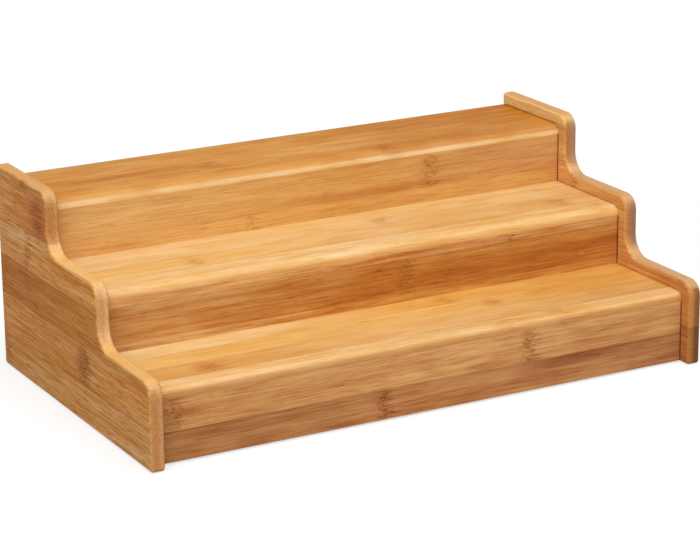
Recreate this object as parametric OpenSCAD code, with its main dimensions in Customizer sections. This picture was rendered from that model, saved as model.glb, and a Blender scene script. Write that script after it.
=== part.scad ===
// Three-step shelf riser for jars and cans, made of edge-glued bamboo boards.
// Two stepped side panels carry three treads and three risers, which are let
// into housings cut in the panels' inner faces. Each board is glued up from
// narrow bamboo staves, and each stave is a node of its own.
// Origin: centre of the footprint, on the surface that the riser stands on.
// +X runs along the treads, the steps climb towards +Y, and +Z is up.

/* [Overall] */
// Width over both side panels
riser_w = 380; // [280:5:460]

/* [Steps] */
// Depth of one step, from one riser's face to the next
step_depth = 72; // [60:0.5:95]
// Height of the lower tread's top above the surface
first_tread_h = 46; // [34:1:60]
// Height gained from one tread to the next
step_rise = 38.5; // [28:0.5:55]
// Extra depth of the side panels behind the third step
rear_margin = 7; // [3:0.5:14]

/* [Side panels] */
// Thickness of each side panel
panel_t = 9; // [8:0.5:14]
// Height of the side panels' lip above each tread
lip_h = 8; // [5:0.5:14]
// Distance from a panel's front edge back to the riser's face
riser_setback = 8.5; // [4:0.5:11]
// Radius of the panels' outer step corners
step_corner_r = 10; // [4:0.5:12]
// Radius of the fillets in the panels' inner step corners
step_fillet_r = 14; // [6:0.5:18]
// Radius rounded over every arris of the side panels
arris_r = 2; // [1:0.25:3.25]
// Height of the narrow stave along the top of each side panel
panel_top_stave_h = 7; // [6:0.5:12]

/* [Treads and risers] */
// Thickness of the tread boards
tread_t = 6; // [5:0.5:9]
// Thickness of the riser boards
riser_t = 6; // [5:0.5:9]
// Radius of each tread's rounded nose
nose_r = 6; // [3:0.5:6]
// Clearance between the lower riser and the surface that the panels stand on
riser_foot_gap = 1; // [0.5:0.25:4]
// Distance from the side panels' rear edges in to the upper tread's back edge
tread_rear_inset = 2; // [0:0.25:3]

/* [Housings] */
// Depth of the housings that hold the ends of the boards
housing_depth = 4; // [2:0.5:6]
// Clearance over and in front of a board in its housing
housing_gap = 0.4; // [0.2:0.1:0.6]

/* [Staves of the treads] */
// Depth of the lower tread's nose stave
lower_tread_nose_stave_w = 13.5; // [10:0.5:18]
// Depth of the lower tread's back stave, part of it under the middle riser
lower_tread_back_stave_w = 24; // [16:1:26]
// Depth of the middle tread's nose stave
middle_tread_nose_stave_w = 19; // [10:1:22]
// Depth of the middle tread's back stave, part of it under the upper riser
middle_tread_back_stave_w = 17; // [14:1:24]
// Depth of the upper tread's nose stave
upper_tread_nose_stave_w = 17; // [10:0.5:22]
// Depth of the upper tread's back stave
upper_tread_back_stave_w = 8.5; // [6:0.5:16]

/* [Staves of the risers] */
// Height of the lower riser's bottom stave
lower_riser_bottom_stave_h = 18.5; // [10:0.5:24]
// Height of the middle riser's bottom stave
middle_riser_bottom_stave_h = 5; // [4:0.5:8]
// Height of the middle riser's top stave
middle_riser_top_stave_h = 5; // [4:0.5:8]
// Height of the upper riser's bottom stave
upper_riser_bottom_stave_h = 10; // [6:1:16]

/* [Hidden] */
// The steps, counted from the front
lower = 0;
middle = 1;
upper = 2;
step_count = 3;
panel_stave_count = 6;
tread_stave_count = 4;
panel_depth = step_count * step_depth + rear_margin;
panel_h = first_tread_h + (step_count - 1) * step_rise + lip_h;
board_len = riser_w - 2 * (panel_t - housing_depth);
// Overshoot of a cutter past the face that it cuts
lap = 1;
$fn = 96;

tread_nose_stave_w = [
    lower_tread_nose_stave_w,
    middle_tread_nose_stave_w,
    upper_tread_nose_stave_w
];
tread_back_stave_w = [
    lower_tread_back_stave_w,
    middle_tread_back_stave_w,
    upper_tread_back_stave_w
];

// ---- Places of the boards ----

function tread_top(step) = first_tread_h + step * step_rise;
function lip_top(step) = tread_top(step) + lip_h;
function riser_face(step) = riser_setback + step * step_depth;
// The lower treads run back under the riser that stands on them
function tread_back(step) =
    step == upper ? panel_depth - tread_rear_inset : riser_face(step + 1) + riser_t;
function riser_foot(step) = step == lower ? riser_foot_gap : tread_top(step - 1);
function riser_head(step) = tread_top(step) - tread_t;

// Distance of seam number k from the tread's nose: the staves between the
// nose stave and the back stave share the depth that those two leave
function tread_seam(step, k) =
    let (depth = tread_back(step) - riser_face(step),
         first = tread_nose_stave_w[step],
         last = tread_back_stave_w[step],
         inner = (depth - first - last) / (tread_stave_count - 2))
    k == 0 ? 0 : k == tread_stave_count ? depth : first + (k - 1) * inner;

// Heights of the seams in a riser, from its foot to its head
function riser_seams(step) =
    let (foot = riser_foot(step), head = riser_head(step))
    step == lower ? [foot, foot + lower_riser_bottom_stave_h, head] :
    step == middle ? [foot, foot + middle_riser_bottom_stave_h, head - middle_riser_top_stave_h, head] :
    [foot, foot + upper_riser_bottom_stave_h, head];

// Height of seam number k in a side panel, from the surface up: the staves
// under the narrow top stave are all as high as each other
function panel_seam(k) =
    k == panel_stave_count ? panel_h : k * (panel_h - panel_top_stave_h) / (panel_stave_count - 1);

// ---- Outlines, with depth along X and height along Y ----

// Waste outside a round of radius r, in the corner at the origin
module corner_waste(r, over) {
    difference() {
        translate([-over, -over]) square(r + over);
        translate([r, r]) circle(r);
    }
}

module panel_outline() {
    difference() {
        union() {
            for (step = [0 : step_count - 1])
                translate([step * step_depth, 0])
                    square([panel_depth - step * step_depth, lip_top(step)]);
            for (step = [1 : step_count - 1])
                translate([step * step_depth, lip_top(step - 1)])
                    mirror([1, 0]) corner_waste(step_fillet_r, 0);
        }
        for (step = [0 : step_count - 1])
            translate([step * step_depth, lip_top(step)])
                mirror([0, 1]) corner_waste(step_corner_r, lap);
        corner_waste(arris_r, lap);
        translate([panel_depth, 0]) mirror([1, 0]) corner_waste(arris_r, lap);
        translate([panel_depth, panel_h]) rotate(180) corner_waste(arris_r, lap);
    }
}

module tread_outline(step) {
    round_r = min(nose_r, tread_t);
    translate([riser_face(step), tread_top(step) - tread_t])
        difference() {
            square([tread_back(step) - riser_face(step), tread_t]);
            translate([0, tread_t]) mirror([0, 1]) corner_waste(round_r, lap);
        }
}

// The housing of a tread and the riser under it: tight behind and below the
// boards, and eased by housing_gap where it shows, over and in front of them.
// The upper tread's housing runs out at the panel's rear edge.
module housing_outline(step) {
    round_r = min(nose_r, tread_t) + housing_gap;
    front = riser_face(step) - housing_gap;
    foot = riser_foot(step);
    back = step == upper ? panel_depth + lap : tread_back(step);
    translate([front, riser_head(step)])
        difference() {
            square([back - front, tread_t + housing_gap]);
            translate([0, tread_t + housing_gap]) mirror([0, 1]) corner_waste(round_r, lap);
        }
    translate([front, foot])
        square([riser_t + housing_gap, riser_head(step) - foot]);
}

// ---- Side panels, laid flat: outer face down, depth along X, height along Y ----

// Waste along one straight arris: it starts at the given point and runs the
// given way, with the panel on its left
module arris_waste(start, heading, length) {
    translate([start[0], start[1], 0])
        rotate(heading) rotate([90, 0, 90])
            linear_extrude(length) corner_waste(arris_r, lap);
}

// Waste round an outer corner of radius r, over a quarter turn from the given
// angle. At a corner as tight as the arris the round becomes a ball.
module outer_corner_waste(centre, r, from) {
    translate([centre[0], centre[1], 0])
        rotate(from) rotate_extrude(angle = 90)
            translate([r - arris_r, 0])
                difference() {
                    translate([0, -lap]) square(arris_r + lap);
                    translate([0, arris_r]) circle(arris_r);
                }
}

// Waste round an inner corner, whose fillet has its centre outside the panel
module inner_corner_waste(centre, r, from) {
    translate([centre[0], centre[1], 0])
        rotate(from) rotate_extrude(angle = 90)
            translate([r, 0]) corner_waste(arris_r, lap);
}

// Everything that the round-over takes off one face of a panel
module face_waste() {
    // Bottom, rear and top edges, with their three small corners
    arris_waste([arris_r, 0], 0, panel_depth - 2 * arris_r);
    arris_waste([panel_depth, arris_r], 90, panel_h - 2 * arris_r);
    outer_corner_waste([arris_r, arris_r], arris_r, 180);
    outer_corner_waste([panel_depth - arris_r, arris_r], arris_r, 270);
    outer_corner_waste([panel_depth - arris_r, panel_h - arris_r], arris_r, 0);
    for (step = [0 : step_count - 1]) {
        front = step * step_depth;
        top = lip_top(step);
        run_end = step == upper ? panel_depth - arris_r : front + step_depth - step_fillet_r;
        rise_start = step == lower ? arris_r : lip_top(step - 1) + step_fillet_r;
        arris_waste([run_end, top], 180, run_end - front - step_corner_r);
        arris_waste([front, top - step_corner_r], 270, top - step_corner_r - rise_start);
        outer_corner_waste([front + step_corner_r, top - step_corner_r], step_corner_r, 90);
        if (step > lower)
            inner_corner_waste([front - step_fillet_r, rise_start], step_fillet_r, 270);
    }
}

module flat_panel() {
    difference() {
        linear_extrude(panel_t) panel_outline();
        face_waste();
        translate([0, 0, panel_t]) mirror([0, 0, 1]) face_waste();
        translate([0, 0, panel_t - housing_depth])
            linear_extrude(housing_depth + lap)
                for (step = [0 : step_count - 1])
                    housing_outline(step);
    }
}

// One stave of a panel: what lies between two seams
module flat_panel_stave(k) {
    intersection() {
        flat_panel();
        translate([-lap, panel_seam(k), -lap])
            cube([panel_depth + 2 * lap, panel_seam(k + 1) - panel_seam(k), panel_t + 2 * lap]);
    }
}

module left_side_stave(k) {
    translate([-riser_w / 2, -panel_depth / 2, 0])
        rotate([90, 0, 90]) flat_panel_stave(k);
}

module right_side_stave(k) {
    mirror([1, 0, 0]) left_side_stave(k);
}

// ---- Treads and risers ----

// Carries an outline from one board end to the other
module along_boards() {
    translate([-board_len / 2, -panel_depth / 2, 0])
        rotate([90, 0, 90]) linear_extrude(board_len) children();
}

module tread_stave(step, k) {
    along_boards()
        intersection() {
            tread_outline(step);
            translate([riser_face(step) + tread_seam(step, k), riser_head(step) - lap])
                square([tread_seam(step, k + 1) - tread_seam(step, k), tread_t + 2 * lap]);
        }
}

module riser_stave(step, k) {
    seams = riser_seams(step);
    along_boards()
        translate([riser_face(step), seams[k]]) square([riser_t, seams[k + 1] - seams[k]]);
}

// ---- Sub-parts ----

module left_side_stave_1() { color("#ab794a") left_side_stave(0); }
module left_side_stave_2() { color("#ab7242") left_side_stave(1); }
module left_side_stave_3() { color("#a0683b") left_side_stave(2); }
module left_side_stave_4() { color("#b67f4a") left_side_stave(3); }
module left_side_stave_5() { color("#ab7547") left_side_stave(4); }
module left_side_stave_6() { color("#a67048") left_side_stave(5); }

module right_side_stave_1() { color("#a8662f") right_side_stave(0); }
module right_side_stave_2() { color("#b9773a") right_side_stave(1); }
module right_side_stave_3() { color("#c07d3c") right_side_stave(2); }
module right_side_stave_4() { color("#bb7736") right_side_stave(3); }
module right_side_stave_5() { color("#b97333") right_side_stave(4); }
module right_side_stave_6() { color("#c17e3c") right_side_stave(5); }

module lower_riser_bottom_stave() { color("#af7546") riser_stave(lower, 0); }
module lower_riser_top_stave() { color("#c48c53") riser_stave(lower, 1); }

module middle_riser_bottom_stave() { color("#cc8238") riser_stave(middle, 0); }
module middle_riser_centre_stave() { color("#ba6e2f") riser_stave(middle, 1); }
module middle_riser_top_stave() { color("#cc894a") riser_stave(middle, 2); }

module upper_riser_bottom_stave() { color("#de994e") riser_stave(upper, 0); }
module upper_riser_top_stave() { color("#d5914c") riser_stave(upper, 1); }

module lower_tread_nose_stave() { color("#ecb675") tread_stave(lower, 0); }
module lower_tread_stave_2() { color("#e5a963") tread_stave(lower, 1); }
module lower_tread_stave_3() { color("#e9ab5d") tread_stave(lower, 2); }
module lower_tread_back_stave() { color("#eaaa5c") tread_stave(lower, 3); }

module middle_tread_nose_stave() { color("#efbc7b") tread_stave(middle, 0); }
module middle_tread_stave_2() { color("#ebb26c") tread_stave(middle, 1); }
module middle_tread_stave_3() { color("#f0b872") tread_stave(middle, 2); }
module middle_tread_back_stave() { color("#f1b76e") tread_stave(middle, 3); }

module upper_tread_nose_stave() { color("#d69654") tread_stave(upper, 0); }
module upper_tread_stave_2() { color("#d3904f") tread_stave(upper, 1); }
module upper_tread_stave_3() { color("#d19050") tread_stave(upper, 2); }
module upper_tread_back_stave() { color("#d39c68") tread_stave(upper, 3); }

left_side_stave_1();
left_side_stave_2();
left_side_stave_3();
left_side_stave_4();
left_side_stave_5();
left_side_stave_6();
right_side_stave_1();
right_side_stave_2();
right_side_stave_3();
right_side_stave_4();
right_side_stave_5();
right_side_stave_6();
lower_riser_bottom_stave();
lower_riser_top_stave();
lower_tread_nose_stave();
lower_tread_stave_2();
lower_tread_stave_3();
lower_tread_back_stave();
middle_riser_bottom_stave();
middle_riser_centre_stave();
middle_riser_top_stave();
middle_tread_nose_stave();
middle_tread_stave_2();
middle_tread_stave_3();
middle_tread_back_stave();
upper_riser_bottom_stave();
upper_riser_top_stave();
upper_tread_nose_stave();
upper_tread_stave_2();
upper_tread_stave_3();
upper_tread_back_stave();
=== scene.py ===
import math

import bpy
from mathutils import Matrix, Vector


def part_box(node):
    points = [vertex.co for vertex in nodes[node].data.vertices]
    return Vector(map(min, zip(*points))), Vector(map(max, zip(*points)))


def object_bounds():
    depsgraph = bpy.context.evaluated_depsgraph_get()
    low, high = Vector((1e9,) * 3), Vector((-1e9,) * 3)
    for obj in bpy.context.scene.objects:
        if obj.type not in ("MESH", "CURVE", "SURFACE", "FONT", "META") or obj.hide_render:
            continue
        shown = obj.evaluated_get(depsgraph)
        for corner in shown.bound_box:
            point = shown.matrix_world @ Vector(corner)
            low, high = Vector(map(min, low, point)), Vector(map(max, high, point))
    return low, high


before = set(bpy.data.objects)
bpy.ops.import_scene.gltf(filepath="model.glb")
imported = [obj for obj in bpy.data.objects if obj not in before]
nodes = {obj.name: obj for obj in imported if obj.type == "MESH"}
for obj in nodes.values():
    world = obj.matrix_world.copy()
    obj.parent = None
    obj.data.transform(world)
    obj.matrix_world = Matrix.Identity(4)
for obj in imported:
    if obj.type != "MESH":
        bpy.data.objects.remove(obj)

scene = bpy.context.scene
cadLow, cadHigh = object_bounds()
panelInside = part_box("left_side_stave_1")[1].x     # the left panel's inner face
mm = 0.001
print("frame loaded:", len(nodes), "staves")


# small tools

def linear(hexColour):
    # sRGB hex to the linear values that shaders take
    parts = [int(hexColour[i:i + 2], 16) / 255 for i in (1, 3, 5)]
    return tuple(p / 12.92 if p <= 0.04045 else ((p + 0.055) / 1.055) ** 2.4 for p in parts) + (1.0,)


def addNode(tree, kind, inputs=None, stops=None, **settings):
    # one node: its settings, then every input as a value or as another node's output
    made = tree.nodes.new("ShaderNode" + kind)
    for name, value in settings.items():
        setattr(made, name, value)
    if stops:
        ramp = made.color_ramp
        while len(ramp.elements) < len(stops):
            ramp.elements.new(0.5)
        for element, (place, colour) in zip(ramp.elements, stops):
            element.position = place
            element.color = linear(colour)
    for name, value in (inputs or {}).items():
        if isinstance(value, bpy.types.NodeSocket):
            tree.links.new(value, made.inputs[name])
        else:
            made.inputs[name].default_value = value
    return made


# camera

camera = {
    "azimuth": 28.507,      # degrees round from the front, towards the left side
    "elevation": 17.446,    # degrees above level
    "roll": 0.597,          # degrees
    "distance": 1.7,        # metres from the aim
    "aim": (0.0041, 0.0077, 0.0523),  # metres
    "lens": 138.35,         # mm, with the sensor's width below
    "sensor": 36,
    "nearest": 0.1,
    "farthest": 60,
}

lens = bpy.data.cameras.new("camera")
lens.sensor_width = camera["sensor"]
lens.lens = camera["lens"]
lens.clip_start = camera["nearest"]
lens.clip_end = camera["farthest"]
viewer = bpy.data.objects.new("camera", lens)
scene.collection.objects.link(viewer)
turn = (Matrix.Rotation(math.radians(-camera["azimuth"]), 3, "Z")
        @ Matrix.Rotation(math.radians(90 - camera["elevation"]), 3, "X")
        @ Matrix.Rotation(math.radians(-camera["roll"]), 3, "Z"))
stand = Vector(camera["aim"]) + turn @ Vector((0, 0, camera["distance"]))
viewer.matrix_world = Matrix.Translation(stand) @ turn.to_4x4()
scene.camera = viewer
print("camera set")


# light and floor

studio = {
    "sky": 0.36,            # strength of the world on the object; the eye sees it white
    "sheenOfWhite": 0.25,   # share of the white paper that a glossy ray meets
    "floorBounce": "#a8a096",   # what the floor throws back on the object
    "floorGlow": 0.62,      # share of the white that the floor shows by itself
    "floorSize": 40,        # metres
    "floorGap": 0.2 * mm,   # the floor lies this far under the feet, so that no faces share a plane
    "lamps": {              # power 1 shows a white card as white; angles in degrees
        "overheadSoftbox": {"power": 0.60, "azimuth": -15, "elevation": 72, "spread": 50},
        "frontFill": {"power": 0.38, "azimuth": -48, "elevation": 25, "spread": 70},
    },
}

world = bpy.data.worlds.new("studio")
world.use_nodes = True
scene.world = world
paper = bpy.data.materials.new("white paper sweep")
paper.use_nodes = True

# the eye and glass see white paper all round; the object is lit by the plain sky and the lamps
shows = {}
for surface in (world, paper):
    tree = surface.node_tree
    tree.nodes.clear()
    path = addNode(tree, "LightPath")
    glossy = addNode(tree, "Math", {0: path.outputs["Is Glossy Ray"], 1: studio["sheenOfWhite"]},
                     operation="MULTIPLY")
    clear = addNode(tree, "Math", {0: path.outputs["Is Camera Ray"], 1: path.outputs["Is Transmission Ray"]},
                    operation="MAXIMUM")
    shows[surface] = addNode(tree, "Math", {0: clear.outputs[0], 1: glossy.outputs[0]},
                             operation="MAXIMUM").outputs[0]

sky = world.node_tree
strength = addNode(sky, "MapRange", {"Value": shows[world], "To Min": studio["sky"], "To Max": 1.0})
background = addNode(sky, "Background", {"Color": (1, 1, 1, 1), "Strength": strength.outputs[0]})
addNode(sky, "OutputWorld", {"Surface": background.outputs[0]})

# printing paper, matt and bleached: plain white, with the shadow of what stands on it
sheet = paper.node_tree
litShare = 1 - studio["floorGlow"]
matt = addNode(sheet, "BsdfDiffuse", {"Color": (litShare, litShare, litShare, 1)})
glow = addNode(sheet, "Emission", {"Color": (1, 1, 1, 1), "Strength": studio["floorGlow"]})
shown = addNode(sheet, "AddShader", {0: matt.outputs[0], 1: glow.outputs[0]})
bounce = addNode(sheet, "BsdfDiffuse", {"Color": linear(studio["floorBounce"])})
both = addNode(sheet, "MixShader", {0: shows[paper], 1: bounce.outputs[0], 2: shown.outputs[0]})
addNode(sheet, "OutputMaterial", {"Surface": both.outputs[0]})

for name, lamp in studio["lamps"].items():
    light = bpy.data.lights.new(name, "SUN")
    light.energy = lamp["power"] * math.pi
    light.angle = math.radians(lamp["spread"])
    holder = bpy.data.objects.new(name, light)
    scene.collection.objects.link(holder)
    holder.rotation_euler = (math.radians(90 - lamp["elevation"]), 0, math.radians(lamp["azimuth"]))

half = studio["floorSize"] / 2
corners = [(-half, -half, 0), (half, -half, 0), (half, half, 0), (-half, half, 0)]
plane = bpy.data.meshes.new("floor")
plane.from_pydata(corners, [], [(0, 1, 2, 3)])
plane.materials.append(paper)
floor = bpy.data.objects.new("floor", plane)
floor.location.z = cadLow.z - studio["floorGap"]
scene.collection.objects.link(floor)
scene.view_settings.view_transform = "Standard"
print("studio lit")


# bamboo

# Moso bamboo, steamed to a caramel brown, planed into staves, edge-glued, sanded and given a satin
# lacquer. The eye sees long thin fibre bundles, a dotted dark band where each knuckle was planed
# off, stipple where the bundles end, and a soft sheen.
bamboo = {
    "layers": {                     # length and width in mm and detail of each layer of the pattern
        "drift": (140, 26, 1),      # slow change of colour
        "strip": (130, 5.0, 2),     # the bands that the fibres gather in
        "fibre": (30, 1.0, 3),      # bundles are 0.3 to 0.8 mm wide, drawn up to 1.0 so that they show
        "fleck": (10, 0.9, 2),      # short dark dashes in the bundles
        "speck": (2.6, 1.1, 2),     # grain of a knuckle
        "cloud": (42, 12, 1),       # soft blotches
    },
    "grainRoughness": 0.6,
    "staveShift": 17.3,             # noise cells between the places where two staves cut the pattern
    "shiftShares": (1, 1.7, 0.6),   # how that step is shared out along, across and through
    "layerShift": 40,               # noise cells between two layers
    "wave": 1.6,                    # mm that the fibres wander
    "waveLength": 90,               # mm
    "driftReach": 0.6,              # share of the board's length by which drift moves its colours
    "colourStops": (0.1, 0.9),      # places of the first and the last colour on that length
    "darkens": {                    # values of each layer where its dark streaks begin and are full
        "strip": (0.66, 0.34),
        "fibre": (0.64, 0.36),
        "fleck": (0.54, 0.72),
        "cloud": (0.62, 0.38),
    },
    "specks": (0.44, 0.58),         # values of speck where a knuckle's dots begin and are full
    "speckStrength": (0.1, 1.25),   # strength of a knuckle between its dots and on them
    "knuckleRelief": 0.8,           # depth of a knuckle against that of the streaks
    "markCore": 0.1,                # share of a mark's size that has its full strength
    "broadFace": (0.75, 0.3),       # normals through the board where the pattern is full and weakest
    "endFace": (0.55, 0.9),         # normals along the fibres where bundle ends begin and are full
    "edgeFace": (0.98, 0.74),       # largest part of a normal, on a flat face and amid a rounded edge
    "endDots": 1.3,                 # mm between bundle ends, drawn wider than the real 0.6 to 1
    "endDotsAlong": 0.03,           # dots per mm along the fibres, where a bundle keeps its place
    "endDotSize": (0.5, 0.15),      # distances from a dot's middle where it begins and is full
    "endShade": "#94642f",
    "wearAndHighlightTint": "#ffe4b8",       # rounded edges: where sanding and handling thinned the colour, and a painted highlight along the arrises
    # dark glue lines between staves, and painted shade in the gap where a board enters a panel
    "jointAndGapShade": "#7a4a26",
    "seamReach": (0.2, 1.1),        # mm from a joint where its dark line begins to fade and ends
    "roughness": 0.46,
    "roughnessSpread": (-0.04, 0.08),   # on pale ground and on dark bundles
    "endRoughness": 0.12,           # what the bundle ends add
    "ior": 1.5,
    "film": 0.1,                    # thin lacquer that the wood soaks up reflects less than a full film
    "lacquerWeight": 0.05,
    "lacquerRoughness": 0.22,
    "lacquerIor": 1.5,
    "bumpHeight": 0.06 * mm,
    "bumpStrength": 0.55,
}


def woodGrain(tree, name, look):
    # places in mm along and across the fibres and through the board, and the layers of the pattern
    coord = addNode(tree, "TexCoord")
    inMm = addNode(tree, "Mapping", {"Vector": coord.outputs["Object"], "Location": look["shift"],
                                     "Scale": look["scale"]})
    place = addNode(tree, "SeparateXYZ", {0: inMm.outputs[0]})
    along, across, through = (place.outputs[axis] for axis in look["axes"])
    straight = addNode(tree, "CombineXYZ", {0: along, 1: across, 2: through})
    slow = addNode(tree, "TexNoise", {"Vector": straight.outputs[0], "Scale": 1 / bamboo["waveLength"],
                                      "Detail": 1})
    wander = addNode(tree, "Math", {0: slow.outputs["Fac"], 1: bamboo["wave"], 2: across},
                     operation="MULTIPLY_ADD")
    grain = addNode(tree, "CombineXYZ", {0: along, 1: wander.outputs[0], 2: through}).outputs[0]
    wood = {"along": along, "across": across, "through": through, "grain": grain,
            "normal": coord.outputs["Normal"]}

    # every stave and every layer cuts the noise somewhere else
    cut = bamboo["staveShift"] * (1 + sorted(nodes).index(name))
    lengthwise, sideways, inwards = (cut * share for share in bamboo["shiftShares"])
    for k, (layer, (length, thick, detail)) in enumerate(bamboo["layers"].items()):
        spot = addNode(tree, "Mapping", {
            "Vector": grain, "Scale": (1 / length, 1 / thick, 1 / thick),
            "Location": (lengthwise, sideways + bamboo["layerShift"] * k, inwards)})
        wood[layer] = addNode(tree, "TexNoise", {
            "Vector": spot.outputs[0], "Scale": 1.0, "Detail": detail,
            "Roughness": bamboo["grainRoughness"]}).outputs["Fac"]
    return wood


def faceMasks(tree, wood, look):
    # masks from the way the surface looks: the broad face, the bundle ends, the rounded edges
    alongAxis, _, throughAxis = look["axes"]
    size = addNode(tree, "VectorMath", {0: wood["normal"]}, operation="ABSOLUTE")
    looks = addNode(tree, "SeparateXYZ", {0: size.outputs[0]}).outputs
    widest = addNode(tree, "Math", {0: looks["X"], 1: looks["Y"]}, operation="MAXIMUM")
    widest = addNode(tree, "Math", {0: widest.outputs[0], 1: looks["Z"]}, operation="MAXIMUM")
    wood["looks"] = looks
    for mask, value in (("endFace", looks[alongAxis]), ("edgeFace", widest.outputs[0])):
        none, full = bamboo[mask]
        wood[mask] = addNode(tree, "MapRange", {"Value": value, "From Min": none,
                                                "From Max": full}).outputs[0]
    square, turned = bamboo["broadFace"]
    wood["clearness"] = addNode(tree, "MapRange", {
        "Value": looks[throughAxis], "From Min": square, "From Max": turned,
        "To Min": 1.0, "To Max": look["sidePattern"]}).outputs[0]


def groundColour(tree, wood, look):
    # the pale ground, from one end of the stave to the other
    reach = bamboo["driftReach"]
    share = addNode(tree, "Math", {0: wood["along"], 1: 1 / look["length"], 2: -reach / 2},
                    operation="MULTIPLY_ADD")
    share = addNode(tree, "Math", {0: wood["drift"], 1: reach, 2: share.outputs[0]},
                    operation="MULTIPLY_ADD")
    colours = look["colours"]
    first, last = bamboo["colourStops"]
    step = (last - first) / (len(colours) - 1)
    stops = [(first + step * k, colour) for k, colour in enumerate(colours)]
    ground = addNode(tree, "ValToRGB", {"Fac": share.outputs[0]}, stops=stops).outputs[0]

    # faces that look along another axis get their own tone, and a panel's may change towards its outer face.
    # On the tread noses these tones are painted light and shade: a painted highlight on the upper nose,
    # painted shade on the lower
    begins, full = look["turn"]
    for axis, tones in look["faceTonesAndPaintedLight"].items():
        tone = linear(tones[0])
        if len(tones) > 1:
            near, far = look["sideBlend"]
            depth = addNode(tree, "Math", {0: wood["through"], 1: look["innerFace"]}, operation="SUBTRACT")
            depth = addNode(tree, "Math", {0: depth.outputs[0]}, operation="ABSOLUTE")
            outward = addNode(tree, "MapRange", {"Value": depth.outputs[0], "From Min": near,
                                                 "From Max": far})
            tone = addNode(tree, "Mix", {"Factor": outward.outputs[0], "A": tone,
                                         "B": linear(tones[1])}, data_type="RGBA").outputs["Result"]
        turned = addNode(tree, "MapRange", {"Value": wood["looks"][axis], "From Min": begins,
                                            "From Max": full})
        ground = addNode(tree, "Mix", {"Factor": turned.outputs[0], "A": ground, "B": tone},
                         data_type="RGBA").outputs["Result"]
    return ground


def markMask(tree, wood, mark):
    # a spot of the mark's size round its place, with an outline that is ragged along the fibres
    x, y = mark["at"]
    length, height = mark["size"]
    uneven = addNode(tree, "Math", {0: wood["fibre"], 1: 0.5}, operation="SUBTRACT")
    warp = addNode(tree, "Math", {0: uneven.outputs[0], 1: mark["ragged"], 2: wood["along"]},
                   operation="MULTIPLY_ADD")
    warp = addNode(tree, "Math", {0: wood["across"], 1: mark["slant"], 2: warp.outputs[0]},
                   operation="MULTIPLY_ADD")
    bent = addNode(tree, "CombineXYZ", {0: warp.outputs[0], 1: wood["across"]})
    spot = addNode(tree, "Mapping", {"Vector": bent.outputs[0], "Scale": (1 / length, 1 / height, 0),
                                     "Location": (-x / length, -y / height, 0)})
    away = addNode(tree, "VectorMath", {0: spot.outputs[0]}, operation="LENGTH").outputs["Value"]
    return addNode(tree, "MapRange", {"Value": away, "From Min": bamboo["markCore"], "From Max": 1.0,
                                      "To Min": mark["strength"], "To Max": 0.0},
                   interpolation_type="SMOOTHSTEP").outputs[0]


def jointDistances(tree, wood, look):
    # mm to the neighbouring staves and to the panels, each with the strength of the line there; the line at
    # the panels is painted shade in the gap
    toNext = addNode(tree, "Math", {0: look["width"], 1: wood["across"]}, operation="SUBTRACT")
    before, after = look["seams"]
    joints = [(wood["across"], before), (toNext.outputs[0], after)]
    if look["ends"]:
        fromMiddle = addNode(tree, "Math", {0: wood["along"], 1: -cadLow.x / mm}, operation="SUBTRACT")
        fromMiddle = addNode(tree, "Math", {0: fromMiddle.outputs[0]}, operation="ABSOLUTE")
        toPanel = addNode(tree, "Math", {0: -panelInside / mm, 1: fromMiddle.outputs[0]},
                          operation="SUBTRACT")
        joints.append((toPanel.outputs[0], look["ends"]))
    return joints


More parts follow.
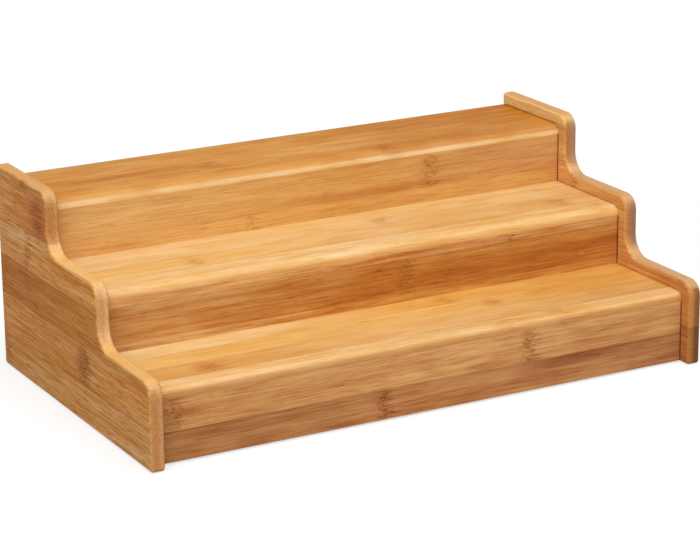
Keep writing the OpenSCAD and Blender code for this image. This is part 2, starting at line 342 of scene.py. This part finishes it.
def bambooStave(name, look):
    # the bamboo of one stave; look holds its board's values, its own and its place
    material = bpy.data.materials.new("steamed bamboo, satin lacquer, " + name)
    material.use_nodes = True
    tree = material.node_tree
    tree.nodes.clear()
    wood = woodGrain(tree, name, look)
    faceMasks(tree, wood, look)
    clearness = wood["clearness"]
    body = groundColour(tree, wood, look)

    # dark bundles on the pale ground
    streaks = 0.0
    for (layer, (begins, full)), weight in zip(bamboo["darkens"].items(), look["streaks"]):
        part = addNode(tree, "MapRange", {"Value": wood[layer], "From Min": begins, "From Max": full})
        streaks = addNode(tree, "Math", {0: part.outputs[0], 1: weight, 2: streaks},
                          operation="MULTIPLY_ADD").outputs[0]
    amount = addNode(tree, "Math", {0: streaks, 1: clearness}, operation="MULTIPLY", use_clamp=True)
    body = addNode(tree, "Mix", {"Factor": amount.outputs[0], "A": body, "B": linear(look["fibreShade"])},
                   data_type="RGBA", blend_type="MULTIPLY").outputs["Result"]

    # knuckles, stains and chips; what is dotted lies deeper as well
    none, full = bamboo["specks"]
    between, on = bamboo["speckStrength"]
    specks = addNode(tree, "MapRange", {"Value": wood["speck"], "From Min": none, "From Max": full,
                                        "To Min": between, "To Max": on})
    relief = streaks
    for mark in look["marks"]:
        mask = markMask(tree, wood, mark)
        if mark["dotted"]:
            broken = addNode(tree, "Mix", {"Factor": mark["dotted"], "A": 1.0, "B": specks.outputs[0]})
            mask = addNode(tree, "Math", {0: mask, 1: broken.outputs[0]}, operation="MULTIPLY").outputs[0]
            relief = addNode(tree, "Math", {0: mask, 1: bamboo["knuckleRelief"], 2: relief},
                             operation="MULTIPLY_ADD").outputs[0]
        mask = addNode(tree, "Math", {0: mask, 1: clearness}, operation="MULTIPLY").outputs[0]
        body = addNode(tree, "Mix", {"Factor": mask, "A": body, "B": linear(mark["tint"])},
                       data_type="RGBA", blend_type=mark["blend"]).outputs["Result"]

    # bundle ends
    apart = bamboo["endDots"]
    endPlace = addNode(tree, "Mapping", {"Vector": wood["grain"],
                                         "Scale": (bamboo["endDotsAlong"], 1 / apart, 1 / apart)})
    cells = addNode(tree, "TexVoronoi", {"Vector": endPlace.outputs[0], "Scale": 1.0})
    none, full = bamboo["endDotSize"]
    dots = addNode(tree, "MapRange", {"Value": cells.outputs["Distance"], "From Min": none,
                                      "From Max": full, "To Max": look["dots"]})
    stipple = addNode(tree, "Math", {0: dots.outputs[0], 1: wood["endFace"]}, operation="MULTIPLY")
    body = addNode(tree, "Mix", {"Factor": stipple.outputs[0], "A": body, "B": linear(bamboo["endShade"])},
                   data_type="RGBA", blend_type="MULTIPLY").outputs["Result"]

    # wear along the edges, and a painted highlight on the rounded edges
    edgeWearAndHighlight = addNode(tree, "Math", {0: wood["edgeFace"], 1: look["wearAndHighlight"]}, operation="MULTIPLY")
    body = addNode(tree, "Mix", {"Factor": edgeWearAndHighlight.outputs[0], "A": body, "B": linear(bamboo["wearAndHighlightTint"])},
                   data_type="RGBA", blend_type="MIX").outputs["Result"]

    # glue lines beside the next staves, and painted shade in the gap where a board enters the panels
    full, none = bamboo["seamReach"]
    for distance, depth in jointDistances(tree, wood, look):
        if depth:
            line = addNode(tree, "MapRange", {"Value": distance, "From Min": full, "From Max": none,
                                              "To Min": depth, "To Max": 0.0})
            line = addNode(tree, "Math", {0: line.outputs[0], 1: clearness}, operation="MULTIPLY")
            body = addNode(tree, "Mix", {"Factor": line.outputs[0], "A": body,
                                         "B": linear(bamboo["jointAndGapShade"])},
                           data_type="RGBA", blend_type="MULTIPLY").outputs["Result"]

    # surface
    smoother, rougher = bamboo["roughnessSpread"]
    gloss = addNode(tree, "MapRange", {"Value": streaks, "To Min": bamboo["roughness"] + smoother,
                                       "To Max": bamboo["roughness"] + rougher})
    gloss = addNode(tree, "Math", {0: wood["endFace"], 1: bamboo["endRoughness"], 2: gloss.outputs[0]},
                    operation="MULTIPLY_ADD")
    bump = addNode(tree, "Bump", {"Height": relief, "Strength": bamboo["bumpStrength"],
                                  "Distance": bamboo["bumpHeight"]}, invert=True)
    lacquered = addNode(tree, "BsdfPrincipled", {
        "Base Color": body, "Roughness": gloss.outputs[0], "IOR": bamboo["ior"],
        "Specular IOR Level": bamboo["film"], "Normal": bump.outputs[0],
        "Coat Weight": bamboo["lacquerWeight"], "Coat Roughness": bamboo["lacquerRoughness"],
        "Coat IOR": bamboo["lacquerIor"]})
    addNode(tree, "OutputMaterial", {"Surface": lacquered.outputs[0]})
    return material


# marks: places and sizes in mm, and ragged is how many mm the fibres pull their outline

def knuckle(at, width, strength, tint="#a8764e", slant=0.0):
    # the dotted band that a planed-off knuckle leaves from edge to edge of a stave
    middle = 10
    height = 26
    return {"at": (at + slant * middle, middle), "size": (width, height), "strength": strength,
            "tint": tint, "slant": slant, "dotted": 0.85, "ragged": 26, "blend": "MULTIPLY"}


def smudge(at, size, strength, tint="#cc8a34", dotted=0.5):
    # a soft stain, such as the halo of a knuckle on a face that was planed deeper
    return {"at": at, "size": size, "strength": strength, "tint": tint, "slant": 0.0,
            "dotted": dotted, "ragged": 40, "blend": "MULTIPLY"}


def chip(at, size, strength, tint="#f0b878"):
    # a torn fibre, filled by lacquer, that shows pale
    return {"at": at, "size": size, "strength": strength, "tint": tint, "slant": 0.8,
            "dotted": 0.0, "ragged": 4, "blend": "MIX"}


# boards

# Each board has one dictionary, and a stave's own value wins over its board's.
#   axes         along and across the fibres and through the board
#   streaks      weights of strip, fibre, fleck and cloud
#   fibreShade   tone of the dark bundles
#   staves       from the nose back, or from the foot up
#   colours      from the left end to the right, or on a panel from its rear edge to its front
#   faceTonesAndPaintedLight   tones of faces that look along X, Y or Z, on the noses painted light and shade; a second tone is for a panel's outer part
#   sideBlend    mm from a panel's inner face where its outer part begins and is full
#   turn         normals where such a face begins and is full
#   sidePattern  strength of the pattern off the broad faces
#   seam, ends   strength of the dark glue line towards the next stave, and of the painted shade in the gap at the panels
#   dots         strength of the bundle ends
#   wearAndHighlight   strength of the wear and the painted highlight along the rounded edges
#   marks        mm from the riser's left face, or from a panel's rear edge, and from the stave's
#                own front or foot

# what a stave has unless its board or the stave itself says otherwise
usual = {
    "faceTonesAndPaintedLight": {},
    "sideBlend": (1.5, 4.5),
    "turn": (0.6, 0.9),
    "sidePattern": 0.25,
    "seam": 0,
    "ends": 0,
    "dots": 0.45,
    # rounded edges are lightened: wear, and a painted highlight
    "wearAndHighlight": 0.12,
    "marks": (),
}


def finishBoard(title, board):
    # gives every stave of one board its own bamboo
    alongIndex, acrossIndex, _ = ("XYZ".index(axis) for axis in board["axes"])
    seamBefore = 0
    for name, own in board["staves"].items():
        low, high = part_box(name)
        look = {**usual, **board, **own}
        look["seams"] = (seamBefore, look["seam"])
        seamBefore = look["seam"]
        scale = [1 / mm, 1 / mm, 1 / mm]
        shift = [0.0, 0.0, 0.0]
        shift[acrossIndex] = -low[acrossIndex] / mm
        if board["axes"][0] == "X":
            shift[0] = -cadLow.x / mm
        else:                       # a panel's fibres count from its rear edge
            scale[1] = -1 / mm
            shift[1] = cadHigh.y / mm
            look["innerFace"] = min(low.x, high.x, key=abs) / mm
        look["scale"] = scale
        look["shift"] = shift
        look["length"] = (cadHigh[alongIndex] - cadLow[alongIndex]) / mm
        look["width"] = (high[acrossIndex] - low[acrossIndex]) / mm
        stave = nodes[name]
        stave.data.materials.clear()
        stave.data.materials.append(bambooStave(name, look))
    print(title, "finished:", len(board["staves"]), "staves")


lowerTread = {
    "axes": ("X", "Y", "Z"),
    "streaks": (0.16, 0.23, 0.26, 0.22),
    "fibreShade": "#e1b71a",
    "staves": {
        "lower_tread_nose_stave": {
            # the nose's front tone is painted shade
            "colours": ("#f5d0a4", "#edc893", "#eabf8a"), "faceTonesAndPaintedLight": {"Y": ("#d5a26b",)},
            "streaks": (0.2, 0.42, 0.34, 0.22), "sidePattern": 0.85, "seam": 0.15,
            "marks": (smudge((243, 6), (6, 12), 0.4), smudge((283, 6), (6, 12), 0.35)),
        },
        "lower_tread_stave_2": {
            "colours": ("#e0a860", "#ecbc80", "#dca868"), "seam": 0.12,
            "marks": (smudge((52, 9), (14, 14), 0.7),),
        },
        "lower_tread_stave_3": {
            "colours": ("#ecbc74", "#f0c480", "#e0a85c"), "seam": 0.1,
            "marks": (smudge((258, 9), (9, 14), 0.6),),
        },
        "lower_tread_back_stave": {
            "colours": ("#f0d4a4", "#e8b464", "#e0ac60"),
            "marks": (smudge((235, 8), (8, 14), 0.55),),
        },
    },
}
finishBoard("lower tread", lowerTread)

middleTread = {
    "axes": ("X", "Y", "Z"),
    "streaks": (0.16, 0.23, 0.26, 0.22),
    "fibreShade": "#e1b71a",
    "staves": {
        "middle_tread_nose_stave": {
            # the nose's front tone, over the normals in turn, is painted light and shade
            "colours": ("#f8d6ab", "#f4d0a0", "#efc58c"), "faceTonesAndPaintedLight": {"Y": ("#ecbc7e",)},
            "streaks": (0.2, 0.42, 0.34, 0.22), "sidePattern": 0.85, "turn": (0.78, 0.98), "seam": 0.2,
            "marks": (smudge((360, 9), (6, 14), 0.4),),
        },
        "middle_tread_stave_2": {
            "colours": ("#f0c480", "#ecc088", "#e4b478"), "seam": 0.2,
            "marks": (smudge((83, 8), (7, 12), 0.6), smudge((342, 8), (10, 14), 0.6)),
        },
        "middle_tread_stave_3": {
            "colours": ("#ecc894", "#ecc48c", "#e4bc84"), "seam": 0.1,
            "marks": (smudge((222, 9), (9, 16), 0.5),),
        },
        "middle_tread_back_stave": {
            "colours": ("#ecd0ac", "#e8c484", "#e4c490"),
        },
    },
}
finishBoard("middle tread", middleTread)

upperTread = {
    "axes": ("X", "Y", "Z"),
    "streaks": (0.23, 0.26, 0.3, 0.34),
    "fibreShade": "#e1b71a",
    "staves": {
        "upper_tread_nose_stave": {
            # the nose's front tone, over the normals in turn, is a painted highlight
            "colours": ("#dc9f4e", "#d89846", "#ce8c40"), "faceTonesAndPaintedLight": {"Y": ("#f9d8a8",)},
            "sidePattern": 0.85, "turn": (0.78, 0.94), "seam": 0.15,
            "marks": (smudge((243, 8), (8, 14), 0.6),),
        },
        "upper_tread_stave_2": {
            "colours": ("#d89840", "#e0a85c", "#cc8c34"), "seam": 0.1,
            "marks": (smudge((125, 10), (9, 14), 0.7), smudge((70, 12), (70, 8), 0.5, dotted=0)),
        },
        "upper_tread_stave_3": {
            "colours": ("#d89c50", "#dca04c", "#c47c28"), "seam": 0.1,
            "marks": (smudge((265, 10), (12, 16), 0.3),),
        },
        "upper_tread_back_stave": {
            "colours": ("#d4a460", "#d09848", "#c47820"),
        },
    },
}
finishBoard("upper tread", upperTread)

lowerRiser = {
    "axes": ("X", "Z", "Y"),
    "streaks": (0.26, 0.29, 0.22, 0.22),
    "fibreShade": "#b06a10",
    # painted shade in the gap where the riser enters the panels
    "ends": 0.85,
    "staves": {
        "lower_riser_bottom_stave": {
            "colours": ("#cc945c", "#e8b074", "#d09864"), "seam": 0.25,
            "marks": (knuckle(157, 7, 0.8),
                      smudge((288, 15), (46, 6), 0.6, "#a8683c", dotted=0.2)),
        },
        "lower_riser_top_stave": {
            "colours": ("#e8b070", "#fcc884", "#f0bc7c"),
            "marks": (knuckle(18, 10, 0.5), smudge((32, 10), (16, 6), 0.4), knuckle(258, 9, 0.62)),
        },
    },
}
finishBoard("lower riser", lowerRiser)

middleRiser = {
    "axes": ("X", "Z", "Y"),
    "streaks": (0.33, 0.32, 0.26, 0.22),
    "fibreShade": "#bc7a10",
    # painted shade in the gap where the riser enters the panels
    "ends": 0.85,
    "staves": {
        "middle_riser_bottom_stave": {
            "colours": ("#ecc484", "#ecb860", "#dca458"), "seam": 0.08,
        },
        "middle_riser_centre_stave": {
            "colours": ("#e4b474", "#dca050", "#e4ac5c"), "seam": 0.12,
            "marks": (knuckle(213, 10, 0.5, "#b4803c"),
                      smudge((345, 9), (270, 15), 0.45, "#d08c48", dotted=0),
                      chip((348, 6), (3, 1.0), 0.4)),
        },
        "middle_riser_top_stave": {
            "colours": ("#f0c07c", "#faca88", "#f0c07c"),
            "marks": (knuckle(288, 8, 0.75, "#b4803c"),),
        },
    },
}
finishBoard("middle riser", middleRiser)

upperRiser = {
    "axes": ("X", "Z", "Y"),
    "streaks": (0.17, 0.26, 0.23, 0.12),
    "fibreShade": "#c88c10",
    # painted shade in the gap where the riser enters the panels
    "ends": 0.85,
    "staves": {
        "upper_riser_bottom_stave": {
            "colours": ("#f0c078", "#ecbc6c", "#e8b46c"), "seam": 0.04,
            "marks": (knuckle(143, 7, 0.3),),
        },
        "upper_riser_top_stave": {
            "colours": ("#f0c480", "#ecb86c", "#e4b070"),
            "marks": (knuckle(272, 10, 0.5, "#b4803c"), smudge((230, 3), (110, 5), 0.5, dotted=0)),
        },
    },
}
finishBoard("upper riser", upperRiser)

leftSide = {
    "axes": ("Y", "Z", "X"),
    "streaks": (0.33, 0.68, 0.76, 0.08),
    "fibreShade": "#d8a80c",
    "dots": 0.38,
    "staves": {
        "left_side_stave_1": {
            "colours": ("#d4a468", "#dcac74", "#e0b484"), "seam": 0.2,
            "faceTonesAndPaintedLight": {"Y": ("#e4b07a", "#d29860"), "Z": ("#eab878",)},
            "marks": (knuckle(8, 9, 0.45, "#c0864c"),),
        },
        "left_side_stave_2": {
            "colours": ("#dca468", "#d8a464", "#e4b074"), "seam": 0.2,
            "faceTonesAndPaintedLight": {"Y": ("#e4b07a", "#d29860"), "Z": ("#e8b56e",)},
            "marks": (smudge((130, 14), (20, 14), 0.3, "#d09c20", dotted=0),
                      knuckle(131, 16, 0.9, "#c49c48")),
        },
        "left_side_stave_3": {
            "colours": ("#c48848", "#cc9044", "#d4a05c"), "seam": 0.2,
            "faceTonesAndPaintedLight": {"Y": ("#eec894", "#e2b078"), "Z": ("#e8b56e",)},
        },
        "left_side_stave_4": {
            "colours": ("#e4b888", "#e4b06c", "#e8b470"), "seam": 0.2,
            "faceTonesAndPaintedLight": {"Y": ("#eec894", "#e2b078"), "Z": ("#ecbe78",)},
            "marks": (knuckle(47, 8, 0.8, "#cc9c20", slant=-0.3),),
        },
        "left_side_stave_5": {
            "colours": ("#e4b078", "#d08a42", "#cc7c28"), "seam": 0.2,
            "faceTonesAndPaintedLight": {"Y": ("#e0aa70", "#ce9458"), "Z": ("#ecbe78",)},
            "marks": (smudge((67, 14), (22, 16), 0.3, "#d09c20", dotted=0),
                      knuckle(65, 14, 0.85, "#c8a044")),
        },
        "left_side_stave_6": {
            "colours": ("#dcb07c", "#bc7c3c"),
            "faceTonesAndPaintedLight": {"Y": ("#e4b074", "#d49c5c"), "Z": ("#dea662",)},
            "marks": (knuckle(45, 10, 0.8, "#cc9c20"),),
        },
    },
}
finishBoard("left side panel", leftSide)

rightSide = {
    "axes": ("Y", "Z", "X"),
    "streaks": (0.17, 0.36, 0.3, 0.07),
    "fibreShade": "#bc7a10",
    "dots": 0.2,
    "wearAndHighlight": 0.04,
    # on the front edges the part beside the inner face keeps that face's lighter tone and the outer part is
    # darker: painted light and shade of the rounded corner
    "sideBlend": (2.5, 5.0),
    "staves": {
        "right_side_stave_1": {
            "colours": ("#e4a85c", "#e8ac66", "#c0824a"), "seam": 0.2,
            "faceTonesAndPaintedLight": {"Y": ("#b47a40", "#84502e"), "Z": ("#c88c50",)},
        },
        "right_side_stave_2": {
            "colours": ("#f2b866", "#fcce7e", "#dc9c54"), "seam": 0.2,
            "faceTonesAndPaintedLight": {"Y": ("#d09250", "#9a6640"), "Z": ("#ccaa80",)},
            "marks": (knuckle(150, 7, 0.5),),
        },
        "right_side_stave_3": {
            "colours": ("#f4c07c", "#ebbb74", "#dc9c58"), "seam": 0.15,
            "faceTonesAndPaintedLight": {"Y": ("#c88e52", "#ac8268"), "Z": ("#d0a270",)},
        },
        "right_side_stave_4": {
            "colours": ("#f4c07c", "#ebbb74", "#dc9c58"), "seam": 0.2,
            "faceTonesAndPaintedLight": {"Y": ("#c88e52", "#ac8268"), "Z": ("#d0a270",)},
            "marks": (knuckle(90, 7, 0.5),),
        },
        "right_side_stave_5": {
            "colours": ("#f8cc88", "#dca458", "#d0944c"), "seam": 0.2,
            "faceTonesAndPaintedLight": {"Y": ("#c08846", "#ba9276"), "Z": ("#d29c60",)},
            "marks": (knuckle(30, 7, 0.5),),
        },
        "right_side_stave_6": {
            "colours": ("#fcd890", "#e4b068"),
            "faceTonesAndPaintedLight": {"Y": ("#c08846", "#ba9276"), "Z": ("#d8a264",)},
        },
    },
}
finishBoard("right side panel", rightSide)
